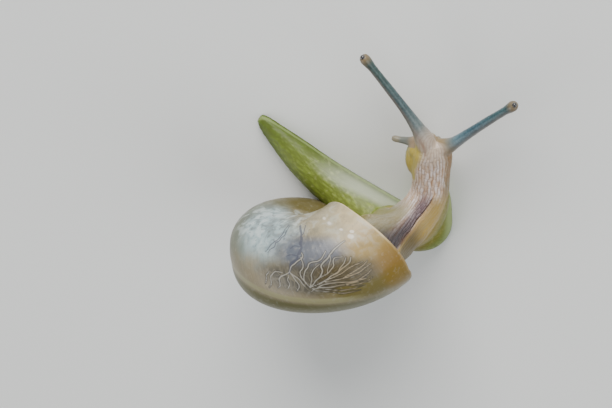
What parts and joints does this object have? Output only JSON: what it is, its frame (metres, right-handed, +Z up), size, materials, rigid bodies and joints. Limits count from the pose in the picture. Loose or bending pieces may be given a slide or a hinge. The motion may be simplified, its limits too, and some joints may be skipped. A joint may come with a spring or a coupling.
{
  "type": "land snail",
  "caption": "Life-size crawling land snail: glossy low-domed coiled shell tipped to one side, long flat foot, neck turned hard to the left, feelers stretched out.",
  "frame": {"origin": "on the floor, in the middle of the sole below the point where the body rises into the shell", "axes": "+X runs along the straight part of the foot towards the front, +Y is the animal's left, where the neck is turned, and +Z is up"},
  "size_m": [0.019, 0.0286, 0.015],
  "materials": {
    "shell": "thin glossy horn-like shell, cream and amber with branching pale veins showing through",
    "shell_rim": "glossy pale amber edge",
    "mantle": "moist, smooth, yellowish cream",
    "skin": "moist, with rows of pale raised tubercles and reddish-purple grooves",
    "feeler": "moist, translucent blue-grey",
    "eye": "glossy black"
  },
  "bodies": {
    "root": {"shell_spire": "shell", "shell_last_whorl": "shell", "shell_lip": "shell_rim", "mantle_collar": "mantle", "stalk": "skin", "neck_base": "skin", "neck": "skin", "head": "skin", "foot_front": "skin", "foot_middle": "skin", "foot_rear": "skin", "tail": "skin", "tail_tip": "skin", "upper_feeler_left": "feeler", "upper_feeler_right": "feeler", "lower_feeler_left": "feeler", "lower_feeler_right": "feeler", "eye_left": "eye", "eye_right": "eye"}
  },
  "joints": []
}
